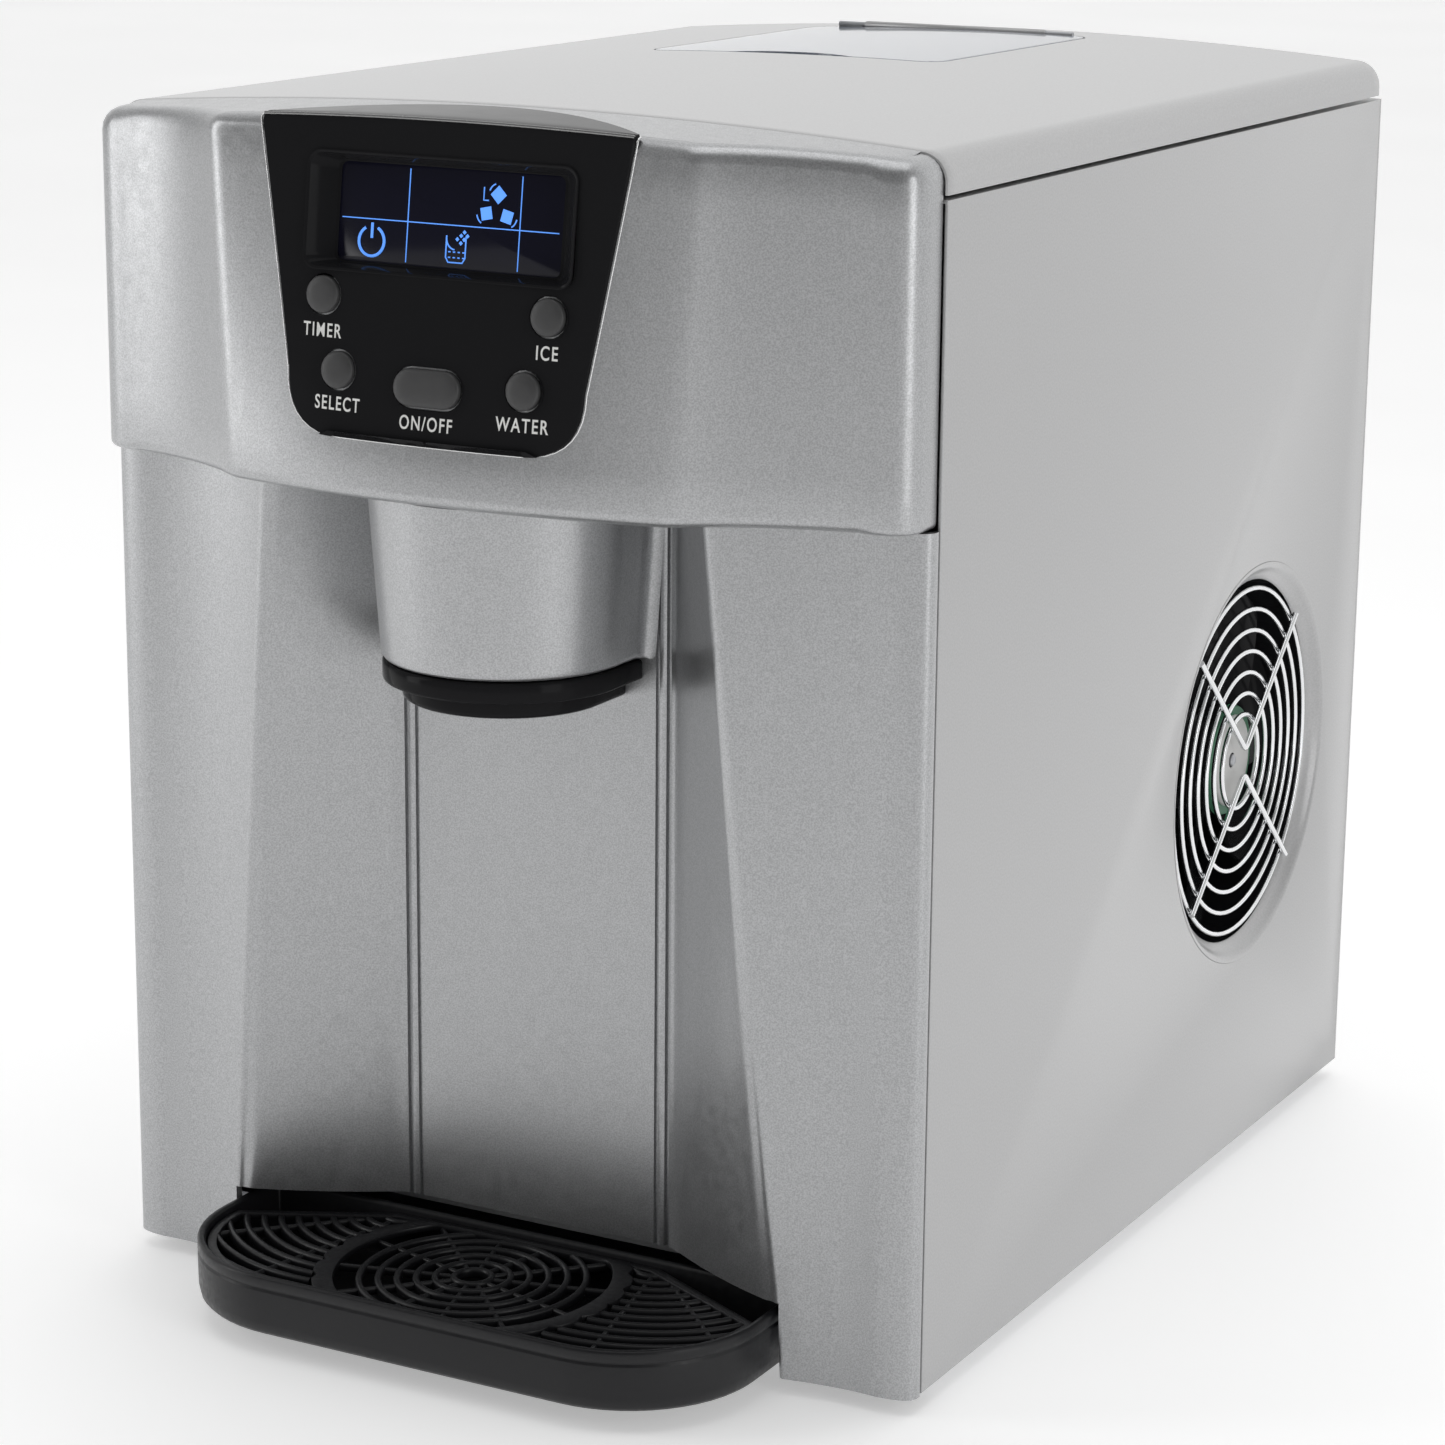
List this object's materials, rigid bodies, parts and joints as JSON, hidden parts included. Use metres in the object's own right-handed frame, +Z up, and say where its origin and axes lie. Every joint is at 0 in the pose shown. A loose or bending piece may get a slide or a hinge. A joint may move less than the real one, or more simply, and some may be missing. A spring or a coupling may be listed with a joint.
{
  "type": "ice maker",
  "caption": "Countertop ice maker with a front dispensing bay, button panel with display, pull-out drip tray, top lid and side fan.",
  "frame": {"origin": "middle of the footprint box on the surface the feet stand on", "axes": "+Z up, the front with the dispensing bay faces -Y, the fan side is +X"},
  "size_m": [0.32, 0.4834, 0.431],
  "materials": {
    "grey_paint": "satin",
    "silver_paint": "fine metallic satin",
    "gloss_black": "gloss",
    "satin_black": "satin",
    "button_grey": "matte",
    "rubber": "matte",
    "chrome": "polished",
    "steel": "satin",
    "copper": "satin copper",
    "aluminium": "satin",
    "white_plastic": "satin",
    "clear_plastic": "clear",
    "display_glass": "gloss",
    "circuit_board": "satin"
  },
  "bodies": {
    "cabinet": {"base_pan": "steel", "foot_front_left": "rubber", "foot_front_right": "rubber", "foot_rear_left": "rubber", "foot_rear_right": "rubber", "left_side_panel": "grey_paint", "right_side_panel": "grey_paint", "rear_panel": "grey_paint", "top_cover": "grey_paint", "lid_seal_frame": "rubber", "lid_hinge_pin": "steel", "front_upper_bezel": "silver_paint", "front_lower_panel": "silver_paint", "nozzle_housing": "silver_paint", "nozzle_collar": "gloss_black", "nozzle_spout": "gloss_black", "control_panel": "gloss_black", "display_window": "display_glass", "display_board": "circuit_board", "ice_bin": "white_plastic", "ice_chute": "white_plastic", "auger_motor": "steel", "evaporator": "copper", "tray_motor": "satin_black", "water_tank": "white_plastic", "water_pump": "satin_black", "water_tube": "clear_plastic", "float_stem": "white_plastic", "compressor": "satin_black", "condenser": "aluminium", "filter_drier": "copper", "suction_pipe": "copper", "fan_frame": "satin_black", "fan_motor": "satin_black", "fan_guard": "chrome", "control_board": "circuit_board", "cord_gland": "rubber", "drain_spout": "white_plastic"},
    "lid": {"lid": "clear_plastic"},
    "drip_tray": {"drip_tray": "satin_black"},
    "drip_grate": {"drip_grate": "satin_black"},
    "fan_rotor": {"fan_rotor": "gloss_black"},
    "freezing_tray": {"freezing_tray": "white_plastic"},
    "ice_shovel": {"ice_shovel": "white_plastic"},
    "ice_auger": {"ice_auger": "steel"},
    "chute_flap": {"chute_flap": "white_plastic"},
    "float": {"float": "white_plastic"},
    "drain_plug": {"drain_plug": "rubber"},
    "timer_button": {"timer_button": "button_grey"},
    "select_button": {"select_button": "button_grey"},
    "power_button": {"power_button": "button_grey"},
    "ice_button": {"ice_button": "button_grey"},
    "water_button": {"water_button": "button_grey"}
  },
  "joints": [
    {"name": "lid_hinge", "type": "hinge", "parent": "cabinet", "child": "lid", "pos_m": [-0.018, 0.20935, 0.4286], "axis": [-1, 0, 0], "range_deg": [0, 95]},
    {"name": "drip_tray_slide", "type": "slide", "parent": "cabinet", "child": "drip_tray", "axis": [0, -1, 0], "range_m": [0, 0.09]},
    {"name": "drip_grate_lift", "type": "slide", "parent": "drip_tray", "child": "drip_grate", "axis": [0, 0, 1], "range_m": [0, 0.03]},
    {"name": "fan_spin", "type": "hinge", "parent": "cabinet", "child": "fan_rotor", "pos_m": [0.136, 0.11735, 0.161], "axis": [1, 0, 0], "continuous": true},
    {"name": "tray_tilt", "type": "hinge", "parent": "cabinet", "child": "freezing_tray", "pos_m": [-0.018, 0.20435, 0.356], "axis": [1, 0, 0], "range_deg": [0, 55]},
    {"name": "shovel_swing", "type": "hinge", "parent": "cabinet", "child": "ice_shovel", "pos_m": [-0.018, 0.12135, 0.398], "axis": [-1, 0, 0], "range_deg": [0, 66]},
    {"name": "auger_spin", "type": "hinge", "parent": "cabinet", "child": "ice_auger", "pos_m": [0, -0.00965, 0.272], "axis": [0, -1, 0], "continuous": true},
    {"name": "chute_flap_swing", "type": "hinge", "parent": "cabinet", "child": "chute_flap", "pos_m": [0, -0.14715, 0.2915], "axis": [-1, 0, 0], "range_deg": [0, 60]},
    {"name": "float_rise", "type": "slide", "parent": "cabinet", "child": "float", "axis": [0, 0, 1], "range_m": [0, 0.06]},
    {"name": "drain_plug_pull", "type": "slide", "parent": "cabinet", "child": "drain_plug", "axis": [0, 1, 0], "range_m": [0, 0.03]},
    {"name": "timer_press", "type": "slide", "parent": "cabinet", "child": "timer_button", "axis": [0, 0.9917, -0.1288], "range_m": [0, 0.0015], "stiffness_N_per_m": 600},
    {"name": "select_press", "type": "slide", "parent": "cabinet", "child": "select_button", "axis": [0, 0.9917, -0.1288], "range_m": [0, 0.0015], "stiffness_N_per_m": 600},
    {"name": "power_press", "type": "slide", "parent": "cabinet", "child": "power_button", "axis": [0, 0.9917, -0.1288], "range_m": [0, 0.0015], "stiffness_N_per_m": 600},
    {"name": "ice_press", "type": "slide", "parent": "cabinet", "child": "ice_button", "axis": [0, 0.9917, -0.1288], "range_m": [0, 0.0015], "stiffness_N_per_m": 600},
    {"name": "water_press", "type": "slide", "parent": "cabinet", "child": "water_button", "axis": [0, 0.9917, -0.1288], "range_m": [0, 0.0015], "stiffness_N_per_m": 600}
  ],
  "couplings": [
    {"joint": "shovel_swing", "follows": "tray_tilt", "ratio": 1.2}
  ]
}
